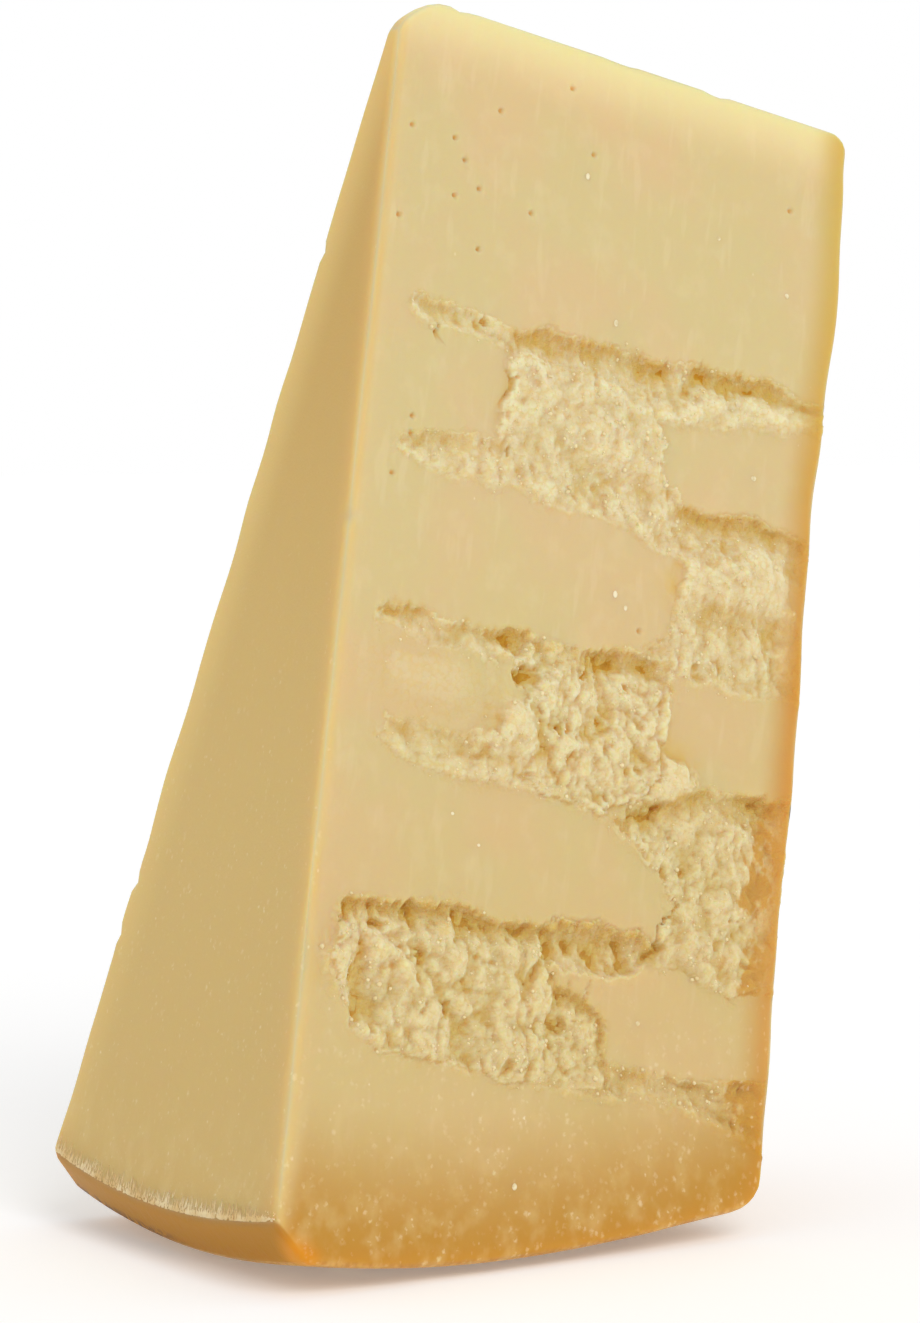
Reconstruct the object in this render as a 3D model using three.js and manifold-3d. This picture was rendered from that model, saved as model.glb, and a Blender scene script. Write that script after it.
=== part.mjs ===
// A wedge split from a wheel of hard aged cheese, standing on the curved rind of the wheel's side.
// The wheel was cut in two at mid-height and then split along its radius with a short knife, so the
// wedge has a smooth mid-height face, a flat rind face opposite, and two split faces that meet at a
// blunt tip. The split faces are smooth where the knife cut and craggy where the cheese broke.
// Units are millimetres, +Z is up, and the origin is under the middle of the wedge's box, on the floor.
//
// The solid is built in the wheel's own frame: X runs along the wheel's axis, from the mid-height
// face at 0 to the flat rind face, and the wheel's axis is the line y = 0, z = 0. A point's radius is
// its distance from that axis. The finished solid is then leaned over and set down on its foot.
import * as THREE from "three";
import { ImprovedNoise } from "three/addons/math/ImprovedNoise.js";
import Module from "manifold-3d";

// The wheel and the wedge cut from it
const WHEEL_RADIUS = 228.5; // axis to the widest line round the wheel's side
const HALF_HEIGHT = 100; // mid-height face to the flat rind face
const WEDGE_ANGLE = THREE.MathUtils.degToRad(21.4); // between the two split faces
const TIP_RADIUS = 4.2; // the blunt tip's distance from the wheel's axis

// The wheel's side bulges: it falls away from its widest line as a hyperbola does
const SIDE_FALL = 47.9;
const SIDE_REACH = 92.5;
const CUT_CHAMFER = 7.1; // rind pared off along the mid-height cut, across the side
const CUT_CHAMFER_DROP = 5.9;
const RIND_CORNER = 7; // radius of the wheel's own rounded corner
const TIP_CORNERS = [
  { face: 0, length: 10, drop: 6.5 }, // worn corner of the tip at the mid-height face
  { face: HALF_HEIGHT, length: 3.5, drop: 2.2 },
];

// How it stands
const LEAN = THREE.MathUtils.degToRad(13.3); // tip leans over towards the flat rind face
const FOOT_DEPTH = 1.5; // rind pressed flat where the wedge stands

// Mesh steps
const NEAR_COLUMNS = 50;
const FAR_COLUMNS = NEAR_COLUMNS / 2;
const ANGLE_STEPS = 10;
const SMOOTH_TOP = 54; // split faces are smooth from the tip to this radius
const CRAGS_END = 198; // and from this radius to the rind
const NEAR_STEP = { top: 6, crags: 2.1, bottom: 5 };
const FAR_STEP = { top: 10, crags: 4.2, bottom: 8 };
const TIP_ZONE = 20; // rows inside this radius follow the tip's rounded corners

// Relief of the split faces
const EDGE_WEAR = 0.9; // depth worn off along every edge of a split face
const EDGE_WEAR_WIDTH = 1.3;
const PLATE_WAVE = { height: 0.35, length: 38 }; // slow waviness of the knife-cut plates
const RAGGED = { height: 1.7, length: 6.5 }; // raggedness of the border round each break
const WALL_WIDTH = 2; // from a plate's edge to the broken cheese
const LIP_WIDTH = 3.4; // a break slopes in under the plate above it over this width
const LIP_REACH = 5; // and comes back out below that over about this width
const LUMP_SIZE = 6.2; // grains of broken cheese

// The breaks in the near split face. Each is deepest under the plate above it, then comes back out
// to its rest level, which may be proud of the plates, with lumps on it. Its outline is a list of
// [distance from the mid-height face, radius].
const BREAKS = [
  { depth: 2.2, rest: -1.4, lump: 0.6, outline: [[9, 58], [30, 58.5], [30, 62], [16, 62], [14, 66], [9, 61.5]] },
  { depth: 5.6, rest: -5, lump: 1.2, outline: [[30, 58], [99, 56], [99, 60], [82, 61], [62, 65.5], [30, 64.5]] },
  { depth: -0.4, rest: 1.2, lump: 2, outline: [[29.5, 64.5], [62, 65.5], [70, 80], [50, 81], [29.5, 78]] },
  { depth: 1, rest: -2.4, lump: 2.2, outline: [[29, 78], [50, 81], [70, 80], [73.5, 91], [54, 90.5], [29, 87]] },
  { depth: 0.8, rest: -1.2, lump: 1.2, outline: [[11, 84], [30, 79], [36, 90], [11, 88]] },
  { depth: 3.4, rest: -2.4, lump: 1.8, outline: [[69, 82], [99, 81], [99, 90], [88, 86.5], [72, 91]] },
  { depth: -1, rest: 2, lump: 1.6, outline: [[71, 90], [88, 86.5], [98, 92], [96, 101], [72, 101]] },
  { depth: 1.6, rest: -2.6, lump: 2.6, outline: [[70, 101], [99, 100], [99, 113], [84, 115], [69, 118]] },
  { depth: 4, rest: -2.6, lump: 1.6, outline: [[3, 114], [30, 113], [70, 110], [70, 119], [32, 118], [3, 118]] },
  { depth: 3.2, rest: -0.6, lump: 3.6, outline: [[33, 118], [70, 117], [69, 134], [62, 142], [30, 141], [42, 130]] },
  { depth: 1.2, rest: -1.6, lump: 1.4, outline: [[11, 132], [31, 133], [32, 141], [12, 140]] },
  { depth: -1, rest: 1.4, lump: 2.2, outline: [[63, 133], [72, 128], [84, 136], [76, 142], [66, 138]] },
  { depth: 4.2, rest: -1.4, lump: 2.8, outline: [[69, 139], [84, 136], [99, 133], [99, 168], [74, 169], [71, 160]] },
  { depth: 4.6, rest: -1.2, lump: 3, outline: [[3, 165], [50, 163], [74, 159], [60, 171], [66, 190], [14, 191], [3, 179]] },
  { depth: 2.6, rest: -2, lump: 1.4, outline: [[59, 178], [70, 186], [99, 184], [99, 196], [80, 191], [60, 190]] },
];

// Holes deeper than the rest of their break: distance from the mid-height face, radius, size, depth
const PITS = [
  { at: [62, 60.5], size: 4.5, depth: 1.6 },
  { at: [40, 121], size: 3.4, depth: 3.4 },
  { at: [42, 126], size: 3, depth: 3.4 },
  { at: [48.5, 129], size: 2.6, depth: 2.6 },
  { at: [69.5, 139.5], size: 3.2, depth: 2 },
  { at: [73, 151], size: 3.4, depth: 2.4 },
  { at: [14, 169.5], size: 4, depth: 2.2 },
  { at: [21, 174], size: 3.2, depth: 2 },
  { at: [56, 167], size: 5, depth: 2 },
];
const MIRROR_RADIUS = 248; // the far face has the same breaks in the opposite order

const noise = new ImprovedNoise();
const smooth = THREE.MathUtils.smoothstep;

// Radius of the wheel's side at a distance from the mid-height face, with its pared and rounded edges.
function sideRadius(x) {
  const bulge = WHEEL_RADIUS - SIDE_FALL * (Math.hypot(1, x / SIDE_REACH) - 1);
  const chamfer = WHEEL_RADIUS - CUT_CHAMFER_DROP * (1 - x / CUT_CHAMFER);
  const into = Math.max(0, x - (HALF_HEIGHT - RIND_CORNER)) / RIND_CORNER;
  const corner = RIND_CORNER * (1 - Math.sqrt(Math.max(0, 1 - into * into)));
  return Math.min(bulge, chamfer) - corner;
}

// Radius at which the tip starts, larger at its two worn corners.
function tipRadius(x) {
  return TIP_CORNERS.reduce((radius, { face, length, drop }) => {
    const away = Math.min(1, Math.abs(x - face) / length);
    return radius + drop * (1 - away) ** 2;
  }, TIP_RADIUS);
}

// Rows of radii down a split face. Between the tip zone and the last break they are level, and near
// the tip and the side they follow those.
function rowStops(step) {
  const stops = [];
  const fill = (from, to, size) => {
    const count = Math.round((to - from) / size);
    for (let i = 0; i < count; i++) stops.push(from + ((to - from) * i) / count);
  };
  fill(TIP_RADIUS, SMOOTH_TOP, step.top);
  fill(SMOOTH_TOP, CRAGS_END, step.crags);
  fill(CRAGS_END, WHEEL_RADIUS, step.bottom);
  stops.push(WHEEL_RADIUS);
  return stops;
}

function radiusAt(x, stop) {
  if (stop < TIP_ZONE) {
    const share = (TIP_ZONE - stop) / (TIP_ZONE - TIP_RADIUS);
    return TIP_ZONE - share * (TIP_ZONE - tipRadius(x));
  }
  const last = Math.min(CRAGS_END, sideRadius(HALF_HEIGHT) - 12);
  if (stop <= last) return stop;
  return last + ((stop - last) / (WHEEL_RADIUS - last)) * (sideRadius(x) - last);
}

// Where a point lies in an outline: its distance to the outline, positive inside, and its distance
// down from the outline's upper border.
function placeInside([px, py], outline) {
  let nearest = Infinity;
  let down = Infinity;
  let inside = false;
  outline.forEach(([ax, ay], i) => {
    const [bx, by] = outline[(i + 1) % outline.length];
    const along = ((px - ax) * (bx - ax) + (py - ay) * (by - ay)) / ((bx - ax) ** 2 + (by - ay) ** 2);
    const t = THREE.MathUtils.clamp(along, 0, 1);
    nearest = Math.min(nearest, Math.hypot(px - ax - t * (bx - ax), py - ay - t * (by - ay)));
    if (ax > px === bx > px) return;
    const border = ay + ((px - ax) / (bx - ax)) * (by - ay);
    if (border > py) return;
    inside = !inside;
    down = Math.min(down, py - border);
  });
  return { nearest: inside ? nearest : -nearest, down };
}

// Rounded grains: 1 at a grain's middle, falling to 0 between grains. Each cell holds one grain,
// placed by a fixed hash.
function grains(x, y, size) {
  const hash = (i, j, k) => {
    const s = Math.sin(i * 127.1 + j * 311.7 + k * 74.7) * 43758.5453;
    return s - Math.floor(s);
  };
  const cx = Math.floor(x / size);
  const cy = Math.floor(y / size);
  let nearest = Infinity;
  for (let i = cx - 1; i <= cx + 1; i++) {
    for (let j = cy - 1; j <= cy + 1; j++) {
      const gx = (i + 0.15 + 0.7 * hash(i, j, 1)) * size;
      const gy = (j + 0.15 + 0.7 * hash(i, j, 2)) * size;
      nearest = Math.min(nearest, Math.hypot(x - gx, y - gy) / size);
    }
  }
  return Math.max(0, 1 - nearest ** 2);
}

// Height of a split face above its plane, below 0 in most of the breaks.
function relief(x, radius, seed) {
  const ragX = RAGGED.height * noise.noise(x / RAGGED.length, radius / RAGGED.length, seed);
  const ragY = RAGGED.height * noise.noise(x / RAGGED.length, radius / RAGGED.length, seed + 9.5);
  const at = [x + ragX, radius + ragY];
  let height = PLATE_WAVE.height * noise.noise(x / PLATE_WAVE.length, radius / PLATE_WAVE.length, seed);
  const grain = grains(x + seed * 31, radius, LUMP_SIZE) - 0.5;
  for (const { depth, rest, lump, outline } of BREAKS) {
    const { nearest, down } = placeInside(at, outline);
    if (nearest <= 0) continue;
    const under = smooth(down, 0, LIP_WIDTH) * Math.exp(-((Math.max(0, down - LIP_WIDTH) / LIP_REACH) ** 2));
    height += smooth(nearest, 0, WALL_WIDTH) * (lump * grain + rest - (depth + rest) * under);
  }
  for (const { at: [px, py], size, depth } of PITS) {
    height -= depth * (1 - smooth(Math.hypot(x - px, radius - py), 0, size));
  }
  return height;
}

// Wear along the four edges of a split face, so that no edge is knife-sharp.
function edgeWear(x, radius) {
  const toEdge = Math.min(x, HALF_HEIGHT - x, radius - tipRadius(x), sideRadius(x) - radius);
  return EDGE_WEAR * Math.exp(-Math.max(0, toEdge) / EDGE_WEAR_WIDTH);
}

// The wedge's surface is collected as shared points and triangles that face outwards.
const points = [];
const triangles = [];

function addPoint(x, y, z) {
  points.push(x, y, z);
  return points.length / 3 - 1;
}

// One split face. side is -1 for the near face and 1 for the far face. Returns rows of point numbers.
function splitFace(side, columns, step, heightAt) {
  const half = WEDGE_ANGLE / 2;
  const rows = rowStops(step).map((stop) =>
    Array.from({ length: columns + 1 }, (_, i) => {
      const x = (HALF_HEIGHT * i) / columns;
      const radius = radiusAt(x, stop);
      const height = Math.max(heightAt(x, radius) - edgeWear(x, radius), -0.4 * radius * Math.sin(half));
      const y = side * (radius * Math.sin(half) + height * Math.cos(half));
      return addPoint(x, y, -radius * Math.cos(half) + height * Math.sin(half));
    }),
  );
  for (let j = 0; j < rows.length - 1; j++) {
    for (let i = 0; i < columns; i++) {
      quad(rows[j][i], rows[j + 1][i], rows[j + 1][i + 1], rows[j][i + 1], side < 0);
    }
  }
  return rows;
}

function quad(a, b, c, d, facesOut) {
  if (facesOut) triangles.push(a, b, c, a, c, d);
  else triangles.push(a, c, b, a, d, c);
}

// Joins a row of points to a row with half as many steps.
function stitch(fine, coarse, facesOut) {
  const add = (a, b, c) => triangles.push(...(facesOut ? [a, b, c] : [a, c, b]));
  for (let i = 0; i < coarse.length - 1; i++) {
    add(coarse[i], fine[2 * i], fine[2 * i + 1]);
    add(coarse[i], fine[2 * i + 1], coarse[i + 1]);
    add(coarse[i + 1], fine[2 * i + 1], fine[2 * i + 2]);
  }
}

// The rind of the wheel's side, between the last rows of the two split faces.
function sideRind(nearRow, farRow) {
  const rings = [];
  for (let k = 1; k < ANGLE_STEPS; k++) {
    const angle = WEDGE_ANGLE * (k / ANGLE_STEPS - 0.5);
    rings.push(
      farRow.map((_, i) => {
        const x = (HALF_HEIGHT * i) / FAR_COLUMNS;
        const radius = sideRadius(x);
        return addPoint(x, radius * Math.sin(angle), -radius * Math.cos(angle));
      }),
    );
  }
  rings.push(farRow);
  stitch(nearRow, rings[0], false);
  for (let k = 0; k < rings.length - 1; k++) {
    for (let i = 0; i < FAR_COLUMNS; i++) {
      quad(rings[k][i], rings[k + 1][i], rings[k + 1][i + 1], rings[k][i + 1], true);
    }
  }
  return rings;
}

// A flat face across the wheel's axis, from its outline: down the near face and back up the far one.
// facing is -1 where the face looks back along X, and 1 where it looks along it.
function flatFace(near, side, far, facing) {
  const ring = [...near, ...side.slice(0, -1), ...far.slice().reverse()];
  const outline = ring.map((p) => new THREE.Vector2(points[3 * p + 1], points[3 * p + 2]));
  const faces = THREE.ShapeUtils.triangulateShape(outline, []);
  const turn = faces.reduce((sum, face) => sum + THREE.ShapeUtils.area(face.map((p) => outline[p])), 0);
  for (const [a, b, c] of faces) {
    triangles.push(...(turn * facing > 0 ? [ring[a], ring[b], ring[c]] : [ring[a], ring[c], ring[b]]));
  }
}

function buildSurface() {
  const near = splitFace(-1, NEAR_COLUMNS, NEAR_STEP, (x, r) => relief(x, r, 0.37));
  const far = splitFace(1, FAR_COLUMNS, FAR_STEP, (x, r) => relief(HALF_HEIGHT - x, MIRROR_RADIUS - r, 4.81));
  const rings = sideRind(near.at(-1), far.at(-1));
  stitch(near[0], far[0], true);
  const column = (rows, i) => rows.map((row) => row.at(i));
  flatFace(column(near, 0), column(rings, 0), column(far, 0), -1);
  flatFace(column(near, -1), column(rings, -1), column(far, -1), 1);
}

const wasm = await Module();
wasm.setup();

function toSolid(vertProperties, triVerts) {
  return new wasm.Manifold(new wasm.Mesh({ numProp: 3, vertProperties, triVerts }));
}

// Height of a point above the wheel's axis once the wedge leans.
const leanedZ = (x, z) => z * Math.cos(LEAN) - x * Math.sin(LEAN);

// The slab of floor that presses the foot flat, in the wheel's frame.
function footSlab(level) {
  const size = 2 * WHEEL_RADIUS;
  const slab = new THREE.BoxGeometry(size, size, size).translate(0, 0, level - size / 2).rotateY(-LEAN);
  const corner = slab.getAttribute("position");
  const places = new Map();
  const merged = [];
  const triVerts = Array.from(slab.index.array, (v) => {
    const place = [corner.getX(v), corner.getY(v), corner.getZ(v)];
    const key = place.map((n) => n.toFixed(2)).join();
    if (!places.has(key)) {
      places.set(key, places.size);
      merged.push(...place);
    }
    return places.get(key);
  });
  return toSolid(new Float32Array(merged), new Uint32Array(triVerts));
}

function buildWedge() {
  buildSurface();
  let lowest = Infinity;
  for (let i = 0; i < points.length; i += 3) lowest = Math.min(lowest, leanedZ(points[i], points[i + 2]));
  const level = lowest + FOOT_DEPTH;
  const cut = toSolid(new Float32Array(points), new Uint32Array(triangles)).subtract(footSlab(level));
  const mesh = cut.getMesh();
  const geometry = new THREE.BufferGeometry()
    .setAttribute("position", new THREE.BufferAttribute(mesh.vertProperties, 3))
    .setIndex(new THREE.BufferAttribute(mesh.triVerts, 1));
  geometry.computeVertexNormals();
  const cheese = new THREE.MeshStandardMaterial({ color: 0xdec48a, roughness: 0.55, metalness: 0 });
  const wedge = new THREE.Mesh(geometry, cheese);
  wedge.name = "cheese_wedge";
  wedge.rotation.y = LEAN;
  const box = new THREE.Box3().setFromBufferAttribute(geometry.clone().rotateY(LEAN).getAttribute("position"));
  const middle = box.getCenter(new THREE.Vector3());
  wedge.position.set(-middle.x, -middle.y, -level);
  return wedge;
}

const group = new THREE.Group();
group.add(buildWedge());
export default group;
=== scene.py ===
# A tall wedge of hard aged cheese, split from half a wheel and standing on the wheel's curved rind.
from math import atan2, cos, exp, hypot, radians, sin, sqrt

import bmesh
import bpy
import numpy as np
from mathutils import Matrix, Vector, noise


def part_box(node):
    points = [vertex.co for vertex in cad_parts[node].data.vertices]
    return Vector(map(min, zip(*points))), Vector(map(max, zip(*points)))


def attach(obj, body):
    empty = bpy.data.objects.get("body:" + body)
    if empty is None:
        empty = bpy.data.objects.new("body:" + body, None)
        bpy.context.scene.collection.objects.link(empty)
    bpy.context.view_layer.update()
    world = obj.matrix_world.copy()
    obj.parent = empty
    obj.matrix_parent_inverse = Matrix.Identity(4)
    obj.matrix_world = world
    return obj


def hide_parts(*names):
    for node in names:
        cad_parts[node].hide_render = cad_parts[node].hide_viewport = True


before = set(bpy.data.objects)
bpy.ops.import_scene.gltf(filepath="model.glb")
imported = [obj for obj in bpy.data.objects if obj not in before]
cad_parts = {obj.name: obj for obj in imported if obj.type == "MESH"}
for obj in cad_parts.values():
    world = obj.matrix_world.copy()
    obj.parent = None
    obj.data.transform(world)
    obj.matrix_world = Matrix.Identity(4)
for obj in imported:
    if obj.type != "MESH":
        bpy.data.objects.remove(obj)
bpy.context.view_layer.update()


# ---- View ---------------------------------------------------------------------------------------
# A long lens stands level with the middle of the wedge, off the corner where the smooth mid-height
# face meets the near split face, and looks down a little.
VIEW_PLACE = (-0.4322, -0.6766, 0.1524)
VIEW_TURN = radians(31.88)
VIEW_DROP = radians(3.58)
VIEW_LENS = 120.7

bpy.ops.object.camera_add(location=VIEW_PLACE, rotation=(radians(90) - VIEW_DROP, 0, -VIEW_TURN))
bpy.context.object.data.lens = VIEW_LENS
bpy.context.scene.camera = bpy.context.object


# ---- Wedge: form --------------------------------------------------------------------------------
# The wheel was cut in two at mid-height and split from its axis outwards with a short knife. The
# wedge is a slice of that half wheel, so its section is drawn once and spun about the axis. Lengths
# are in millimetres, X is the distance from the mid-height face and the radius that from the axis.
MM = 0.001
WHEEL_RADIUS = 228.5
HALF_HEIGHT = 100
WEDGE_ANGLE = radians(21.4)
HALF_ANGLE = WEDGE_ANGLE / 2
SIDE_FALL, SIDE_REACH = 47.9, 92.5  # the wheel's side bulges as a hyperbola does
CUT_CHAMFER, CUT_CHAMFER_DROP = 7.1, 5.9  # rind pared off along the mid-height cut
RIND_CORNER = 5.5
TIP_RADIUS = 4.2
TIP_CORNERS = ((0, 10, 6.5), (HALF_HEIGHT, 3.5, 2.2))  # worn corners: where, length, drop
TIP_CHIPS = ((13, 2.4, 0.9), (47, 2, 0.7), (49.5, 1.5, 0.5), (70, 3, 0.9))  # the same for small chips
TIP_ZONE = 20  # rows inside this radius follow the tip's worn corners
STRAIGHT_ROWS = 186  # rows beyond this radius follow the bulge of the side

COLUMNS, ROWS, SPIN_STEPS = 54, 118, 26
EDGE_STEPS, EDGE_CROWDING = 5, 1.5  # steps are shorter near every edge
EDGE_ZONE = 4
EDGE_ZONE_ANGLE = EDGE_ZONE / WHEEL_RADIUS


def side_radius(x):
    """Radius of the wheel's side, with its pared edge and its rounded corner."""
    bulge = WHEEL_RADIUS - SIDE_FALL * (hypot(1, x / SIDE_REACH) - 1)
    pared = WHEEL_RADIUS - CUT_CHAMFER_DROP * (1 - x / CUT_CHAMFER)
    into = max(0, x - (HALF_HEIGHT - RIND_CORNER)) / RIND_CORNER
    return min(bulge, pared) - RIND_CORNER * (1 - sqrt(max(0, 1 - into * into)))


def tip_radius(x):
    """Radius at which the blunt tip starts."""
    drops = [
        drop * (1 - min(1, abs(x - place) / length)) ** 2
        for place, length, drop in TIP_CORNERS + TIP_CHIPS
    ]
    return TIP_RADIUS + sum(drops)


def spread(step, count, length, zone):
    """Place of a step along a length, with the steps closer together near both ends."""
    if step > count / 2:
        return length - spread(count - step, count, length, zone)
    if step < EDGE_STEPS:
        return zone * (step / EDGE_STEPS) ** EDGE_CROWDING
    return zone + (step - EDGE_STEPS) * (length - 2 * zone) / (count - 2 * EDGE_STEPS)


def row_radius(x, level):
    """Radius of a row of points, which follows the tip at one end and the side at the other."""
    if level < TIP_ZONE:
        return TIP_ZONE - (TIP_ZONE - level) / (TIP_ZONE - TIP_RADIUS) * (TIP_ZONE - tip_radius(x))
    if level < STRAIGHT_ROWS:
        return level
    share = (level - STRAIGHT_ROWS) / (WHEEL_RADIUS - STRAIGHT_ROWS)
    return STRAIGHT_ROWS + share * (side_radius(x) - STRAIGHT_ROWS)


bpy.ops.object.select_all(action="DESELECT")
bpy.ops.mesh.primitive_grid_add(x_subdivisions=COLUMNS, y_subdivisions=ROWS, size=1)
wedge = bpy.context.object
wedge.name = "wedge"
for v in wedge.data.vertices:
    x = spread(round((v.co.x + 0.5) * COLUMNS), COLUMNS, HALF_HEIGHT, EDGE_ZONE)
    down = spread(round((0.5 - v.co.y) * ROWS), ROWS, WHEEL_RADIUS - TIP_RADIUS, EDGE_ZONE)
    radius = row_radius(x, TIP_RADIUS + down)
    v.co = Vector((x, -radius * sin(HALF_ANGLE), -radius * cos(HALF_ANGLE))) * MM
bpy.ops.object.mode_set(mode="EDIT")
bpy.ops.mesh.select_all(action="SELECT")
bpy.ops.mesh.spin(steps=SPIN_STEPS, angle=-WEDGE_ANGLE, center=(0, 0, 0), axis=(1, 0, 0))
bpy.ops.mesh.select_all(action="SELECT")
bpy.ops.mesh.remove_doubles(threshold=0.001 * MM)
bpy.ops.mesh.normals_make_consistent(inside=False)
bpy.ops.object.mode_set(mode="OBJECT")
for v in wedge.data.vertices:
    radius = hypot(v.co.y, v.co.z)
    step = round((atan2(v.co.y, -v.co.z) + HALF_ANGLE) / WEDGE_ANGLE * SPIN_STEPS)
    angle = spread(step, SPIN_STEPS, WEDGE_ANGLE, EDGE_ZONE_ANGLE) - HALF_ANGLE
    v.co.y, v.co.z = radius * sin(angle), -radius * cos(angle)


# ---- Wedge: where the cheese broke --------------------------------------------------------------
# The knife was pushed in at several heights and the cheese pulled apart, so smooth plates where the
# blade went lie between crags where it tore. A break is deepest under the plate above it, comes back
# out to its rest level within its reach, and has lumps that are drawn out down the face.
BREAKS = [  # depth and rest level from the plates, reach, lump, stretch, outline of (x, radius)
    # the first crack: its thin left end, its middle and its right end
    (-0.5, -0.2, 2.5, 0.9, 1.2,
     [(9, 58.5), (20, 57.6), (31, 58.5), (31, 62.5), (22, 62), (15, 62.5), (9, 60.5)]),
    (-1.2, -0.6, 5, 1.2, 1.2,
     [(29, 58.5), (44, 57.5), (59, 57), (60, 65.5), (44, 64), (29, 64.5)]),
    (-1.5, -0.7, 6, 1.3, 1.2,
     [(57, 57.5), (80, 56.6), (101, 56), (101, 59), (86, 60.3), (72, 62.3), (64, 66.5), (57, 65)]),
    # the crag below it, that crag's lower part, and its thin left end
    (0.9, 0.9, 3, 1.2, 1.1,
     [(29, 66), (32, 63), (46, 63), (60, 65.5), (65, 71), (67, 80), (50, 81), (29.5, 79)]),
    (-0.1, -0.1, 3, 1.5, 1.3,
     [(28.5, 77), (50, 79), (67, 78), (71.5, 84), (73, 93), (68, 92), (60, 89.5), (40, 88.5),
      (29, 87.5)]),
    (-0.4, 0.1, 3, 1.1, 1.2,
     [(10, 83.5), (20, 80.5), (30, 80), (31, 88), (20, 88.5), (12, 87)]),
    # the crack beside the flat face, the lump below it, and the crag below that
    (-1.5, -0.9, 5, 1.4, 1.1,
     [(69, 83.5), (84, 82.5), (101, 83), (101, 93), (93, 91), (86, 88), (74, 92), (70, 91)]),
    (0.9, 0.9, 3, 0.8, 1.8,
     [(72, 91.5), (80, 88), (87, 86.3), (93, 90), (96, 95), (96, 103), (72, 103)]),
    (-0.7, 0, 5, 1.9, 1.8,
     [(70, 100), (97, 100), (101, 104), (101, 113), (88, 114.5), (76, 114.5), (70, 117), (59, 114),
      (67, 110), (70.5, 105)]),
    # the crack at the left, at half height
    (-0.8, -0.2, 3, 1.2, 1.3,
     [(6, 114.2), (16, 113.6), (33, 114), (34, 121), (28, 119), (16, 118.5), (7, 118)]),
    # the middle crag, the shelf at its left, and its thin left end
    (-1.9, 0.6, 5, 2.8, 1.2,
     [(31, 113.5), (50, 113), (72, 112.5), (73, 118), (69, 128), (67, 137), (62, 142), (45, 142),
      (40, 138), (40, 124), (37, 119), (33, 118)]),
    (0.5, 0.5, 3, 1.8, 1.2,
     [(29, 132), (35, 128), (41, 126), (45, 132), (45, 142), (29, 139.5)]),
    (-0.4, 0.1, 3, 1.1, 1.2,
     [(11, 133), (22, 132.5), (32, 134), (34, 141), (24, 141), (14, 139)]),
    # the pale crests below the first crack and above the lowest plate
    (0.7, 0.7, 2, 1, 1.2,
     [(62, 66), (72, 62.8), (86, 60.8), (100, 60), (100, 62.5), (88, 63.8), (74, 66.3), (63, 69)]),
    (0.6, 0.6, 2, 1.1, 1.2,
     [(58, 186), (66, 185.5), (80, 188.5), (81, 191.5), (70, 191), (58, 190)]),
    # the lump where the middle crag meets the right one, and the right crag
    (1.3, 1.3, 3, 1.1, 1.2,
     [(64, 133), (70, 129.5), (77, 132), (80, 137), (78, 143), (71, 142), (66, 139)]),
    (-1.2, 0.2, 5, 2.1, 1.3,
     [(67, 139), (78, 135), (88, 133), (101, 132), (101, 168), (90, 169), (82, 168), (74, 167.5),
      (68, 165.5), (73, 161.5), (74, 156), (71.5, 151), (69, 147), (63, 143)]),
    # the lower left crag, the recess at its right, and the lowest crack
    (-1.7, -0.1, 4, 2.8, 1.5,
     [(5, 168), (7, 165.5), (12, 164.5), (30, 164.5), (50, 163.5), (51, 172), (60, 176), (63, 184),
      (66, 191), (50, 191.5), (30, 191.5), (16, 190), (10, 186), (7, 181), (5, 176)]),
    (-2.6, -1.7, 7, 2.8, 1.7,
     [(48, 163.5), (60, 161.5), (69, 160.5), (73, 165), (67, 169), (58, 170.5), (49, 171)]),
    (-1, -0.4, 4, 1.7, 1.2,
     [(57, 170), (60, 179), (65, 185.5), (74, 187.5), (86, 185.5), (101, 184), (101, 197),
      (92, 194), (80, 190.8), (60, 192)]),
]
PITS = [  # holes deeper than the rest of their break: x, radius, half width, half length, depth
    (14.3, 64.3, 0.9, 2.6, 1.6),
    (22, 59.3, 1.1, 1.5, 1.2),
    (26, 61.5, 2, 1.6, 0.6),
    (63, 60.5, 7, 3, 0.6),
    (29.2, 70, 0.9, 5, 1.2),
    (32, 82, 1.2, 1.5, 1.2),
    (40.5, 121.5, 2.4, 3.8, 2.6),
    (48.5, 129, 1.5, 3, 1.5),
    (56.5, 130.5, 1.6, 2.2, 1.2),
    (68.5, 139.5, 2.4, 3, 2.6),
    (73.2, 150.5, 2.4, 2.6, 1.5),
    (72, 166, 5.5, 4.5, 1.4),
    (13.5, 169.5, 4.5, 1.8, 1.8),
    (21.5, 174, 3.4, 2, 1.8),
    (31, 181, 1.6, 3, 1.6),
    (52, 180, 2, 2.6, 1.2),
    (56, 167, 5, 3, 1.2),
]
KNOBS = [  # smooth rounded pieces that stand out: x, radius, half width, half length, height
    (37, 130, 9, 8, 2.2),
    (14, 174.5, 7, 5, 2.2),
    (52, 121.5, 8, 6, 0.8),
    (60, 129, 5, 7, 0.8),
    (34, 66, 5, 4, 0.6),
    (84, 94, 15, 10, 2.4),
    (71, 136, 10, 7, 1.8),
    (20, 125.5, 25, 11, 0.5),
    (46, 72, 16, 10, 0.8),
    (6, 178, 5, 11, 1.2),
]
EYES = [  # small round holes in the plates: x, radius
    (14, 28), (15, 38.5), (31.5, 37.5), (21, 47), (20, 36), (16.5, 31.5), (23, 20.5), (38, 12),
    (44, 23), (4, 45), (88, 22), (63, 108), (8, 91), (11, 80), (11, 83), (5, 28),
]
EYE_SIZE, EYE_DEPTH = 0.8, 1
KNOB_PALE, KNOB_SKIN = 0.75, 0.8  # a knob counts as torn, so it is paler than the plates with the painted crest light
PIT_RAGGED, PIT_RAG = 1.6, 0.7  # pits have ragged outlines
MIRROR_RADIUS = 248  # the far face has the same breaks in the opposite order
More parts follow.
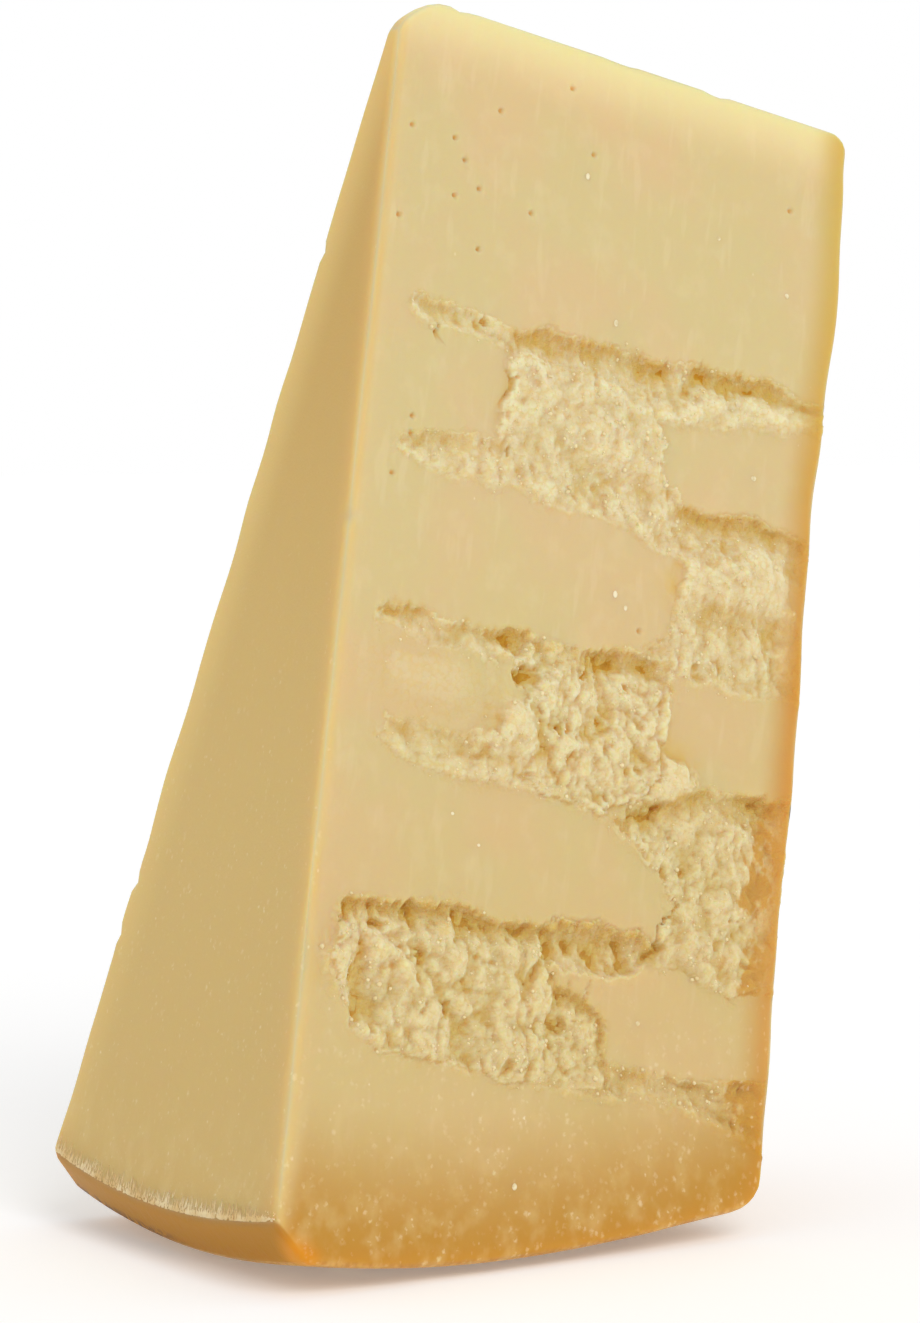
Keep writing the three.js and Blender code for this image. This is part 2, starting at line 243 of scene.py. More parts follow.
NEAR_SEED, FAR_SEED = 0.37, 4.81
NEAR_CUTS, FAR_CUTS = 4, 2
NOISE_SEED = 5  # without it some of the noise would differ from run to run
BREAK_MARGIN = 2  # the mesh is also fine this far outside a break
PLATE_WAVE, PLATE_WAVE_LENGTH = 0.35, 38
WALL_WIDTH, OVERLAP = 2.4, 1.1  # neighbouring breaks run into each other
LIP_SHARE = 0.45  # how much of its reach a break takes to get to its full depth
FRAY_WIDTH, FRAY_HEIGHT = 2.2, 0.8  # crumbs stand on the plate below a break
DRIFTS = ((13, 3.4), (4.6, 2.2), (1.9, 1.1), (0.8, 0.6))  # outlines wander: over what, by how much
DRIFT_ALONG = 0.5  # borders follow the knife, so they wander less down the face
TOOTH_WIDTH, TOOTH_LENGTH, TOOTH_SIZE = 0.9, 7, 0.8  # borders have teeth along them
TOOTH_PATCH, TOOTH_MEAN = 8, 0.4  # the teeth come in patches
RAG_WIDTH, RAG_LENGTH, RAG_SHARE = 7, 12, 1.6  # some of a border is hardly sunk
RAG_LEAST, RAG_MOST = 0.3, 1.2
TEAR_LEAN = 0.25  # lumps lean towards the rind as they run down the face
BEND_WIDTH, BEND_LENGTH, BEND_SIZE = 7, 9, 2.6  # and they waver
LUMP_SIZES = ((6.4, 0.48), (3.3, 0.4), (1.8, 0.14))  # drawn out down the face: size, share
GRAIN_SIZES = ((1.4, 0.13), (0.8, 0.09))  # grains on them, as wide as they are long
SWELL_SIZES = ((11, 0.6), (2.3, 0.06))  # softer rises and hollows
MEAN_LUMP = 0.58  # taken off, so that lumps rise and sink about their break's level
DOME_FALL = 1.7  # how fast a grain falls away from its middle
HOLE_SIZE, HOLE_SHARE, HOLE_LEVELS = 1.7, 0.28, (0.38, 0.7)
LIP_SHADE_REACH, LIP_SHADE_DEPTH = 3.4, 1.3  # painted shade: the paste is browner this far under a border that is deep
LIP_SHADE_BORDER = 0.9  # the painted shade fades in over this on both sides of a border
SHELTER_LEAST, SHELTER_ZONE = 0.15, 8  # breaks run out beside the flat rind face
FRAY_BASE = 0.15  # raises the grains of a frayed border


noise.seed_set(NOISE_SEED)


def smooth(value, low, high):
    """0 at the low value and 1 at the high one, smoothly."""
    t = min(1, max(0, (value - low) / (high - low)))
    return t * t * (3 - 2 * t)


def place_inside(px, py, outline):
    """Distance to the outline, positive inside it, and distance down from its upper border."""
    nearest, down, inside = 1e9, 1e9, False
    ax, ay = outline[-1]
    for bx, by in outline:
        dx, dy = bx - ax, by - ay
        along = min(1, max(0, ((px - ax) * dx + (py - ay) * dy) / (dx * dx + dy * dy)))
        nearest = min(nearest, hypot(px - ax - along * dx, py - ay - along * dy))
        if (ax > px) != (bx > px):
            border = ay + (px - ax) / dx * dy
            if border <= py:
                inside = not inside
                down = min(down, py - border)
        ax, ay = bx, by
    return (nearest if inside else -nearest), down


def near_box(px, py, outline, margin):
    """Whether a point is in the outline's box or near it."""
    xs, rs = zip(*outline)
    return min(xs) - margin < px < max(xs) + margin and min(rs) - margin < py < max(rs) + margin


def near_break(x, radius, margin):
    """Whether a point is in a break or a hole or near one."""
    for *_, outline in BREAKS:
        if near_box(x, radius, outline, margin) and place_inside(x, radius, outline)[0] > -margin:
            return True
    return any(hypot(x - cx, radius - cy) < EYE_SIZE + margin / 2 for cx, cy in EYES)


def dome(u, v, seed):
    """Rounded grains: 1 at a grain's middle and about 0 between grains."""
    distances, _ = noise.voronoi(Vector((u, v, seed)))
    return max(0, 1 - DOME_FALL * distances[0] ** 2)


def crumble(x, radius, stretch, seed):
    """Lumps with smaller lumps and grains on them, stretched down the face."""
    bend = noise.noise_vector(Vector((x / BEND_WIDTH, radius / BEND_LENGTH, seed))) * BEND_SIZE
    across = x - TEAR_LEAN * (stretch - 1) * radius + bend.x
    along = (radius + bend.y) / stretch
    lumps = sum(
        share * dome(across / size, along / size, seed + size) for size, share in LUMP_SIZES
    )
    grains = sum(share * dome(x / size, radius / size, seed + size) for size, share in GRAIN_SIZES)
    swells = sum(
        share * noise.noise(Vector((across / size, along / size, seed - size)))
        for size, share in SWELL_SIZES
    )
    hole = noise.noise(Vector((across / HOLE_SIZE, along / HOLE_SIZE, seed + 7)))
    return lumps + grains + swells - HOLE_SHARE * smooth(hole, *HOLE_LEVELS) - MEAN_LUMP


def bump_out(x, radius, cx, cy, width, length):
    """A smooth rise: 1 at its middle and 0 at its edge."""
    return 1 - smooth(hypot((x - cx) / width, (radius - cy) / length), 0, 1)


def border_drift(x, radius, seed):
    """Where a point counts as lying among the outlines, so that borders wander and have teeth."""
    drift = Vector()
    for length, size in DRIFTS:
        drift += noise.noise_vector(Vector((x, radius, seed * 10)) / length) * size
    toothed = TOOTH_MEAN + noise.noise(Vector((x / TOOTH_PATCH, radius / TOOTH_PATCH, seed + 5)))
    tooth = noise.noise(Vector((x / TOOTH_WIDTH, radius / TOOTH_LENGTH, seed)))
    return x + drift.x, radius + DRIFT_ALONG * drift.y + TOOTH_SIZE * toothed * tooth


def broken(x, radius, px, py, seed):
    """The breaks' weighted level and its weight, how whole the plate is, how frayed, and its painted
    shade.
    """
    ragged = 1 + RAG_SHARE * noise.noise(Vector((x / RAG_WIDTH, radius / RAG_LENGTH, seed + 3)))
    ragged = min(RAG_MOST, max(RAG_LEAST, ragged))
    total, level, whole, fray, lip_shade = 0, 0, 1, 0, 0
    for depth, rest, reach, lump, stretch, outline in BREAKS:
        if not near_box(px, py, outline, FRAY_WIDTH):
            continue
        nearest, down = place_inside(px, py, outline)
        if nearest < -FRAY_WIDTH:
            continue
        share = smooth(nearest, -FRAY_WIDTH, FRAY_WIDTH) + 1e-6
        lip = LIP_SHARE * reach
        lowest = exp(-((max(0, down - lip) / (reach - lip)) ** 2)) * ragged
        sunk = smooth(down, -OVERLAP, lip) * (rest + (depth - rest) * lowest)
        lumps = lump * crumble(x, radius, stretch, seed)
        total += share
        level += share * (sunk + lumps)
        below = 0 if down > HALF_HEIGHT else down  # no border lies over a point outside the break
        under = smooth(nearest, -LIP_SHADE_BORDER, LIP_SHADE_BORDER) * exp(-((below / LIP_SHADE_REACH) ** 2))
        lip_shade = max(lip_shade, under * min(1, -depth * ragged / LIP_SHADE_DEPTH))
        whole *= 1 - smooth(nearest + OVERLAP, 0, WALL_WIDTH)
        if nearest > 0 or down < 2 * FRAY_WIDTH:
            fray = max(fray, smooth(nearest, -FRAY_WIDTH, 0))
    return level, total, whole, fray, lip_shade


def relief(x, radius, seed):
    """Height of a split face above its plane, how broken it is, and the painted shade under its
    borders.
    """
    place = Vector((x, radius, seed * 10))
    px, py = border_drift(x, radius, seed)
    height = PLATE_WAVE * noise.noise(place / PLATE_WAVE_LENGTH)
    level, total, whole, fray, lip_shade = broken(x, radius, px, py, seed)
    if total:
        shelter = SHELTER_LEAST + (1 - SHELTER_LEAST) * smooth(HALF_HEIGHT - x, 0, SHELTER_ZONE)
        height += (1 - whole) * shelter * level / total
        grains = max(0, FRAY_BASE + crumble(x, radius, 1, seed + 9))
        height += FRAY_HEIGHT * fray * whole * grains
    for cx, cy, width, length, depth in PITS:
        if abs(px - cx) < width + PIT_RAG and abs(py - cy) < length + PIT_RAG:
            rag = noise.noise_vector(place / PIT_RAGGED) * PIT_RAG
            height -= depth * bump_out(px + rag.x, py + rag.y, cx, cy, width, length)
    for cx, cy, width, length, rise in KNOBS:
        knob = bump_out(px, py, cx, cy, width, length)
        height += rise * knob
        fray = max(fray, KNOB_PALE * smooth(knob, 0, KNOB_SKIN))
    for cx, cy in EYES:
        height -= EYE_DEPTH * bump_out(x, radius, cx, cy, EYE_SIZE, EYE_SIZE)
    return height, max(fray, 1 - whole), lip_shade


def face_side(co):
    """-1 on the near split face, 1 on the far one and 0 elsewhere."""
    angle = atan2(co.y, -co.z)
    return 0 if abs(angle) < HALF_ANGLE - 1e-5 else (1 if angle > 0 else -1)


def face_place(co, side):
    """Where a point of a split face lies in that face's list of breaks."""
    x, radius = co.x / MM, hypot(co.y, co.z) / MM
    return (x, radius) if side < 0 else (HALF_HEIGHT - x, MIRROR_RADIUS - radius)


bpy.ops.object.mode_set(mode="EDIT")
bpy.ops.mesh.select_mode(type="FACE")
for side, cuts in ((-1, NEAR_CUTS), (1, FAR_CUTS)):
    bpy.ops.mesh.select_all(action="DESELECT")
    form = bmesh.from_edit_mesh(wedge.data)
    for face in form.faces:
        centre = face.calc_center_median()
        if face_side(centre) == side and near_break(*face_place(centre, side), BREAK_MARGIN):
            face.select_set(True)
    bmesh.update_edit_mesh(wedge.data)
    bpy.ops.mesh.subdivide(number_cuts=cuts)
bpy.ops.object.mode_set(mode="OBJECT")


# ---- Wedge: worn edges --------------------------------------------------------------------------
# Handling has rounded every edge a little. The radius of the rounding varies along an edge, and it
# is smaller where the wedge is thin.
EDGE_ROUND, EDGE_ROUND_CHANGE, EDGE_ROUND_LENGTH = 1.5, 1.2, 14
THIN_SHARE = 0.4  # most that a rounding takes of the wedge's thickness
THIN_DEPTH = 0.35  # most that a break takes of half of it
WORN_SHOWS = 2.4  # how soon a rounding shows in the painted edge highlight
NICKS = (  # in the mid-height face's edges: side, radius, reach, size
    (1, 52, 2, 1.2), (1, 170, 2.2, 1.7), (1, 180, 1.8, 1.3), (-1, 100, 2.4, 1.8),
)
NICK_ZONE = 6
FLAT_SWELLS = ((33, 52, 2), (118, 50, 0.6), (200, 45, 0.6))  # on the flat face: radius, reach, height
SWELL_ZONE = 22


def rounding(co):
    """How far a point moves to round the edges near it, and how near it is to one, from 0 to 1."""
    x, radius, angle = co.x / MM, hypot(co.y, co.z) / MM, atan2(co.y, -co.z)
    spoke = Vector((0, sin(angle), -cos(angle)))
    side = 1 if angle > 0 else -1
    split_normal = Vector((0, side * cos(HALF_ANGLE), sin(HALF_ANGLE)))
    to_tip, to_side = radius - tip_radius(x), side_radius(x) - radius
    planes = (
        (min(x, HALF_HEIGHT - x), Vector((1 if x > HALF_HEIGHT / 2 else -1, 0, 0))),
        (radius * sin(HALF_ANGLE - abs(angle)), split_normal),
        (min(to_tip, to_side), spoke if to_side < to_tip else -spoke),
    )
    wide = EDGE_ROUND + EDGE_ROUND_CHANGE * noise.noise(co / MM / EDGE_ROUND_LENGTH)
    if x < NICK_ZONE:
        wide += sum(
            size * smooth(abs(radius - place), reach, 0)
            for face, place, reach, size in NICKS
            if face == side
        )
    wide = min(wide, THIN_SHARE * 2 * radius * sin(HALF_ANGLE))
    pushes = [max(0, wide - distance) for distance, _ in planes]
    length = max(wide, sqrt(sum(push * push for push in pushes)))
    move = Vector()
    for push, (_, outward) in zip(pushes, planes):
        move -= outward * push * (1 - wide / length)
    return move, min(1, WORN_SHOWS * (length / wide - 1))


heights, torn, worn, under_lip_shade = [], [], [], []
for v in wedge.data.vertices:
    side = face_side(v.co)
    move, near_edge = rounding(v.co)
    height = rough = lip_shade = 0
    if side:
        height, rough, lip_shade = relief(*face_place(v.co, side), NEAR_SEED if side < 0 else FAR_SEED)
        thin = -THIN_DEPTH * hypot(v.co.y, v.co.z) / MM * sin(HALF_ANGLE)
        move += max(height, thin) * Vector((0, side * cos(HALF_ANGLE), sin(HALF_ANGLE)))
    x, radius = v.co.x / MM, hypot(v.co.y, v.co.z) / MM
    swell = sum(rise * smooth(abs(radius - middle), reach, 0) for middle, reach, rise in FLAT_SWELLS)
    move.x += swell * smooth(x, HALF_HEIGHT - SWELL_ZONE, HALF_HEIGHT)
    v.co += move * MM
    heights.append(height)
    torn.append(rough)
    worn.append(near_edge)
    under_lip_shade.append(lip_shade)

# Each point knows how far it lies below what is around it, for the painted shade in the hollows
# and the painted light on the crests.
HOLLOW_ROUNDS, HOLLOW_DEPTH = 40, 0.95
SUNK_START, SUNK_DEPTH = 1.6, 6
heights, torn, worn = np.array(heights), np.array(torn), np.array(worn)
edges = np.array([edge.vertices for edge in wedge.data.edges])
links = np.bincount(edges.ravel(), minlength=len(heights))
around = heights
for _ in range(HOLLOW_ROUNDS):
    total = np.bincount(edges[:, 0], around[edges[:, 1]], len(heights))
    total += np.bincount(edges[:, 1], around[edges[:, 0]], len(heights))
    around = total / links
sunk = (around - heights) / HOLLOW_DEPTH + np.maximum(0, -heights - SUNK_START) / SUNK_DEPTH
hollow = 0.5 + 0.5 * np.clip(sunk, -1, 1)
for name, values in (("hollow", hollow), ("torn", torn), ("worn", worn), ("under_lip_shade", under_lip_shade)):
    layer = wedge.data.attributes.new(name, "FLOAT", "POINT")
    layer.data.foreach_set("value", np.asarray(values, np.float32))


# ---- Wedge: how it stands -----------------------------------------------------------------------
# The wedge stands on the wheel's curved side and leans over towards its flat rind face. Its weight
# presses the rind under it flat, so what would lie below the floor is cut off level.
LEAN = radians(13.3)

wedge.data.transform(Matrix.Rotation(LEAN, 4, "Y"))
low, high = (
    Vector([pick(v.co[i] for v in wedge.data.vertices) for i in range(3)]) for pick in (min, max)
)
cad_low, cad_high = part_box("cheese_wedge")
shift = (cad_low + cad_high - low - high) / 2
shift.z = cad_high.z - high.z
wedge.data.transform(Matrix.Translation(shift))
bpy.ops.object.mode_set(mode="EDIT")
bpy.ops.mesh.select_all(action="SELECT")
bpy.ops.mesh.bisect(
    plane_co=(0, 0, 0), plane_no=(0, 0, 1), use_fill=True, clear_inner=True, threshold=1e-7
)
bpy.ops.object.mode_set(mode="OBJECT")
bpy.ops.object.shade_smooth()
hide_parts("cheese_wedge")
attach(wedge, "root")


# ---- Wedge: place in the wheel ------------------------------------------------------------------
# The cheese's colours follow the wheel that it was cut from: its sides, its rind and its axis. So
# every point of the wedge is turned back upright and measured from the wheel's axis, in millimetres.
def put(tree, kind, inputs=None, **settings):
    """Adds a node. An input is a value or the socket that feeds it."""
    made = tree.nodes.new("ShaderNode" + kind)
    for name, value in settings.items():
        setattr(made, name, value)
    for name, value in (inputs or {}).items():
        if isinstance(value, bpy.types.NodeSocket):
            tree.links.new(value, made.inputs[name])
        else:
            made.inputs[name].default_value = value
    return made


def maths(tree, operation, *values):
    return put(tree, "Math", dict(enumerate(values)), operation=operation).outputs[0]


def times(tree, *values):
    """The product of masks and shares."""
    product = values[0]
    for value in values[1:]:
        product = maths(tree, "MULTIPLY", product, value)
    return product


def without(tree, mask):
    """1 where the mask is 0, and 0 where it is 1."""
    return maths(tree, "SUBTRACT", 1, mask)


def length_of(tree, vector):
    return put(tree, "VectorMath", {0: vector}, operation="LENGTH").outputs["Value"]


def ramp(tree, value, low, high):
    """0 at the low value and 1 at the high one, smoothly."""
    inputs = {"Value": value, "From Min": low, "From Max": high}
    return put(tree, "MapRange", inputs, interpolation_type="SMOOTHSTEP").outputs[0]


def tint(tree, factor, low, high):
    return put(tree, "Mix", {0: factor, 6: low, 7: high}, data_type="RGBA").outputs[2]


def colour(red, green, blue):
    """A colour as a screen shows it, from 0 to 255, as a linear one."""
    parts = [part / 255 for part in (red, green, blue)]
    linear = [
        part / 12.92 if part <= 0.04045 else ((part + 0.055) / 1.055) ** 2.4 for part in parts
    ]
    return linear + [1]


cheese = bpy.data.materials.new("aged cheese")
cheese.use_nodes = True
tree = cheese.node_tree
mapping = {
    "Vector": put(tree, "TexCoord").outputs["Object"],
    "Location": -(Matrix.Rotation(-LEAN, 4, "Y") @ shift) / MM,
    "Rotation": (0, -LEAN, 0),
    "Scale": [1 / MM] * 3,
}
wheel_place = put(tree, "Mapping", mapping).outputs[0]
wheel_axes = put(tree, "SeparateXYZ", {0: wheel_place})
across, sideways, upward = (wheel_axes.outputs[axis] for axis in "XYZ")
radius_now = length_of(tree, put(tree, "CombineXYZ", {"Y": sideways, "Z": upward}).outputs[0])

slope = put(tree, "CombineXYZ", {"X": 1, "Y": maths(tree, "DIVIDE", across, SIDE_REACH)}).outputs[0]
fall = times(tree, length_of(tree, slope), SIDE_FALL)
side_now = maths(tree, "SUBTRACT", WHEEL_RADIUS + SIDE_FALL, fall)
from_side = maths(tree, "SUBTRACT", side_now, radius_now)
from_flat = maths(tree, "SUBTRACT", HALF_HEIGHT, across)
for middle, reach, rise in FLAT_SWELLS:
    off = maths(tree, "ABSOLUTE", maths(tree, "SUBTRACT", radius_now, middle))
    from_flat = maths(tree, "MULTIPLY_ADD", ramp(tree, off, reach, 0), rise, from_flat)
lifted = times(tree, upward, sin(HALF_ANGLE))
from_far = maths(tree, "SUBTRACT", times(tree, sideways, -cos(HALF_ANGLE)), lifted)
from_near = maths(tree, "SUBTRACT", times(tree, sideways, cos(HALF_ANGLE)), lifted)

hollow_now, torn_now, near_rounded_edge, lip_shade_now = (
    put(tree, "Attribute", attribute_name=name).outputs["Fac"]
    for name in ("hollow", "torn", "worn", "under_lip_shade")
)
FULLY_TORN = (0.55, 1)
fully_torn = ramp(tree, torn_now, *FULLY_TORN)


# ---- Wedge: patterns in the cheese --------------------------------------------------------------
# The paste isn't even. It has broad patches, a mottle, fine grains, and streaks where the knife
# dragged it down.
def drawn_out(stretch):
    """The place in the wheel, for a pattern that is drawn out down the cheese."""
    inputs = {0: wheel_place, 1: (1, 1, 1 / stretch)}
    return put(tree, "VectorMath", inputs, operation="MULTIPLY").outputs[0]


def clouds(scale, detail, stretch=1):
    """Noise over the cheese: how many grains to a millimetre, and how far they are drawn out."""
    inputs = {"Vector": drawn_out(stretch), "Scale": scale, "Detail": detail}
    return put(tree, "TexNoise", inputs).outputs["Fac"]


patches = clouds(scale=0.035, detail=2)
mottle = clouds(scale=0.22, detail=3, stretch=1.2)
grain = clouds(scale=1.5, detail=3)
streaks = clouds(scale=0.4, detail=2, stretch=14)
curtain_noise = clouds(scale=0.9, detail=2, stretch=2.4)
crumb_cells = put(tree, "TexVoronoi", {"Vector": wheel_place, "Scale": 0.9}).outputs["Distance"]
BORDER_WANDER = 9  # the borders between colours wander by up to half of this
wander = times(tree, maths(tree, "SUBTRACT", patches, 0.5), BORDER_WANDER)


# ---- Wedge: paste -------------------------------------------------------------------------------
# The inside of the cheese is straw coloured, in places a little towards peach. The mid-height face
# has a deeper colour in a thin skin: partly it has dried, partly it is painted shade for a face
# turned from the light. The thin edges and the tip get a paler painted glow for light let through.
STRAW = colour(213, 194, 141)
PEACH = colour(217, 191, 142)
PEACH_PATCHES = (0.4, 0.62)
FLECK = colour(243, 232, 196)
PALE_MOTTLE, PALE_MOTTLE_SHARE = (0.5, 0.72), 0.08
PALE_STREAKS, PALE_STREAK_SHARE = (0.56, 0.72), 0.1
# partly painted shade: the mid-height face is turned from the light
CUT_FACE = colour(217, 187, 120)
CUT_FACE_TIP = colour(210, 173, 101)
CUT_FACE_RADII = (40, 170)  # from the tip's colour to that of the rest
CUT_FACE_ZONE = (2.5, 0.2)
# painted light: a paler glow along the mid-height face's edges, for light let through them
CUT_GLOW = colour(234, 208, 134)
CUT_GLOW_SHARE, CUT_GLOW_DEPTH = 0.6, (3, 0)
FAR_GLOW = (12, 1)
NEAR_GLOW, NEAR_GLOW_SHARE = (5, 0), 0.3
TIP_GLOW = colour(228, 218, 164)
TIP_GLOW_RADII, TIP_GLOW_START, TIP_GLOW_SHARE = (18, 5), (0, 3), 0.8

paste = tint(tree, ramp(tree, patches, *PEACH_PATCHES), STRAW, PEACH)
paste = tint(tree, times(tree, ramp(tree, mottle, *PALE_MOTTLE), PALE_MOTTLE_SHARE), paste, FLECK)
paste = tint(tree, times(tree, ramp(tree, streaks, *PALE_STREAKS), PALE_STREAK_SHARE), paste, FLECK)
cut_face = tint(tree, ramp(tree, radius_now, *CUT_FACE_RADII), CUT_FACE_TIP, CUT_FACE)
paste = tint(tree, ramp(tree, across, *CUT_FACE_ZONE), paste, cut_face)
near_glow = times(tree, ramp(tree, from_near, *NEAR_GLOW), NEAR_GLOW_SHARE)
cut_edge_glow = maths(tree, "MAXIMUM", ramp(tree, from_far, *FAR_GLOW), near_glow)
cut_edge_glow = times(tree, cut_edge_glow, ramp(tree, across, *CUT_GLOW_DEPTH), CUT_GLOW_SHARE)
paste = tint(tree, cut_edge_glow, paste, CUT_GLOW)
# painted light: the thin tip is painted paler, for light let through it
off_cut_face = ramp(tree, across, *TIP_GLOW_START)
tip_glow = times(tree, ramp(tree, radius_now, *TIP_GLOW_RADII), off_cut_face, TIP_GLOW_SHARE)
paste = tint(tree, tip_glow, paste, TIP_GLOW)


# ---- Wedge: colour of the crags -----------------------------------------------------------------
# Torn cheese gets painted light and shade: pale cream painted on the crests of its lumps, and amber
# painted where it is sunk, for the shade and the deep scattered light in the hollows. A browner band
# in ragged curtains under each upper border is painted shade, the shade under the plate's overhang.
PAINTED_CREST_LIGHT = colour(230, 219, 178)
CREST_LIGHT_LEVELS = (0.72, 0.2)
PAINTED_HOLLOW_SHADE = colour(220, 182, 90)
HOLLOW_SHADE_LEVELS, HOLLOW_SHADE_SHARE = (0.56, 0.9), 0.8
PAINTED_DEEP_SHADE = colour(212, 154, 40)
DEEP_SHADE_LEVELS = (0.96, 1)
CREASE_SHADE_LEVELS, CREASE_SHADE_SHARE = (0.4, 0.8), 0.3
# painted shade: the brown under each upper border stands for the shade under the plate's overhanging
# edge
PAINTED_LIP_SHADE = colour(208, 164, 80)
CURTAIN, CURTAIN_LEAST = (0.36, 0.62), 0.4

crest_light = times(tree, ramp(tree, hollow_now, *CREST_LIGHT_LEVELS), fully_torn, without(tree, lip_shade_now))
paste = tint(tree, crest_light, paste, PAINTED_CREST_LIGHT)
# painted shade: the creases between crumb cells are tinted like the hollows
painted_crease_shade = times(tree, ramp(tree, crumb_cells, *CREASE_SHADE_LEVELS), torn_now, CREASE_SHADE_SHARE)
paste = tint(tree, painted_crease_shade, paste, PAINTED_HOLLOW_SHADE)
# the painted shade under the borders comes in ragged curtains
curtain = ramp(tree, curtain_noise, *CURTAIN)
curtain = maths(tree, "MULTIPLY_ADD", curtain, 1 - CURTAIN_LEAST, CURTAIN_LEAST)
paste = tint(tree, times(tree, lip_shade_now, curtain), paste, PAINTED_LIP_SHADE)
# painted shade: amber in the hollows, and a deeper orange in the deepest
paste = tint(tree, times(tree, ramp(tree, hollow_now, *HOLLOW_SHADE_LEVELS), HOLLOW_SHADE_SHARE), paste, PAINTED_HOLLOW_SHADE)
paste = tint(tree, ramp(tree, hollow_now, *DEEP_SHADE_LEVELS), paste, PAINTED_DEEP_SHADE)


# ---- Wedge: colour towards the rind -------------------------------------------------------------
# The cheese dries from its rind inwards, so it darkens to amber beside the flat rind face and above
# the wheel's side, and the rind itself is a thin tan skin.
FLAT_EDGE_TIP = colour(203, 176, 92)
FLAT_EDGE = colour(200, 141, 52)
FLAT_EDGE_RADII, FLAT_EDGE_WIDTH, FLAT_EDGE_WANDER = (15, 130), (9, 1), 0.3
ROUGH_FLAT, ROUGH_FLAT_RADII, ROUGH_FLAT_MOTTLE = 9, (122, 150), (0.46, 0.62)  # wider in the crags
# a little darker towards the bottom of the wedge and towards its flat face
LOWER = colour(204, 172, 106)
LOWER_RANGE, LOWER_LEAN, LOWER_SHARE = (80, 250), 0.5, 0.45
RIND_AMBER = colour(191, 141, 50)
AMBER_DEPTH = (30, 1)
CUT_LAG, CUT_LAG_WIDTH = 14, (5, 0)  # the mid-height face stays pale for longer
RIND_TAN = colour(208, 164, 96)
RIND_DARK = colour(178, 128, 62)
SIDE_SKIN, FLAT_SKIN, SKIN_SHARE = (1.2, 0.3), (0.9, 0.2), 0.85
TAN_SPOTS = (0.3, 0.7)
DARK_PATCHES, DARK_PATCH_SHARE = (0.42, 0.64), 0.5

rough_flat = times(
    tree,
    fully_torn,
    ROUGH_FLAT,
    ramp(tree, radius_now, *ROUGH_FLAT_RADII),
    ramp(tree, mottle, *ROUGH_FLAT_MOTTLE),
)
flat_reach = maths(tree, "MULTIPLY_ADD", wander, FLAT_EDGE_WANDER, from_flat)
near_flat = ramp(tree, maths(tree, "SUBTRACT", flat_reach, rough_flat), *FLAT_EDGE_WIDTH)
flat_edge = tint(tree, ramp(tree, radius_now, *FLAT_EDGE_RADII), FLAT_EDGE_TIP, FLAT_EDGE)
paste = tint(tree, near_flat, paste, flat_edge)
lower = ramp(tree, maths(tree, "MULTIPLY_ADD", across, LOWER_LEAN, radius_now), *LOWER_RANGE)
paste = tint(tree, times(tree, lower, LOWER_SHARE), paste, LOWER)
cut_lag = times(tree, ramp(tree, across, *CUT_LAG_WIDTH), CUT_LAG)
amber_reach = maths(tree, "ADD", maths(tree, "ADD", from_side, wander), cut_lag)
paste = tint(tree, ramp(tree, amber_reach, *AMBER_DEPTH), paste, RIND_AMBER)
side_skin, flat_skin = ramp(tree, from_side, *SIDE_SKIN), ramp(tree, from_flat, *FLAT_SKIN)
rind_skin = maths(tree, "MAXIMUM", side_skin, flat_skin)
tan = tint(tree, ramp(tree, curtain_noise, *TAN_SPOTS), RIND_DARK, RIND_TAN)
tan = tint(tree, times(tree, ramp(tree, patches, *DARK_PATCHES), DARK_PATCH_SHARE), tan, RIND_DARK)
paste = tint(tree, times(tree, rind_skin, SKIN_SHARE), paste, tan)


# ---- Wedge: pared rind --------------------------------------------------------------------------
# The rind is pared off along the mid-height cut, down to smooth amber cheese, painted darker still as
# painted shade on this underside. Crust is left in specks along the paring's lower edge, and the
# paring's near corner shows the brightest orange. Edges that are worn round get a painted highlight,
# paler than the faces.
# partly painted shade: darker than the pared cheese's own amber, for the little light its underside
# gets
PARED_RIND = colour(174, 119, 2)
PARED_DEPTH, PARED_SHARE = (1.2, 0.6), 0.95
PARED_CORNER = colour(208, 140, 24)
PARED_CORNER_PLACE = (5, -41.8, -225.5)
PARED_CORNER_SIZE, PARED_CORNER_WANDER = (6.5, 2.5), 0.6
RIND_CRUST = colour(92, 58, 26)
CRUST_WIDTH, CRUST_SPECKS, CRUST_DEPTH, CRUST_ALONG = (3, 1), (0.42, 0.54), (3, 1.4), (-8, 12)
PAINTED_EDGE_HIGHLIGHT = colour(198, 196, 164)
EDGE_HIGHLIGHT_DEPTH, EDGE_HIGHLIGHT_SHARE = (2, 16), 0.65

pared_line = CUT_CHAMFER_DROP / CUT_CHAMFER
pared_line = maths(tree, "MULTIPLY_ADD", across, pared_line, WHEEL_RADIUS - CUT_CHAMFER_DROP)
from_pared = maths(tree, "ABSOLUTE", maths(tree, "SUBTRACT", radius_now, pared_line))
on_chamfer = maths(tree, "LESS_THAN", across, CUT_CHAMFER)
pared = times(tree, ramp(tree, from_pared, *PARED_DEPTH), on_chamfer)
paste = tint(tree, times(tree, pared, PARED_SHARE), paste, PARED_RIND)
ends = {0: wheel_place, 1: PARED_CORNER_PLACE}
to_corner = put(tree, "VectorMath", ends, operation="DISTANCE").outputs["Value"]
to_corner = maths(tree, "MULTIPLY_ADD", wander, PARED_CORNER_WANDER, to_corner)
paste = tint(tree, ramp(tree, to_corner, *PARED_CORNER_SIZE), paste, PARED_CORNER)
from_crust = maths(tree, "ABSOLUTE", maths(tree, "SUBTRACT", across, CUT_CHAMFER))
crust = times(
    tree,
    ramp(tree, from_crust, *CRUST_WIDTH),
    ramp(tree, curtain_noise, *CRUST_SPECKS),
    ramp(tree, from_side, *CRUST_DEPTH),
    ramp(tree, sideways, *CRUST_ALONG),
)
paste = tint(tree, crust, paste, RIND_CRUST)
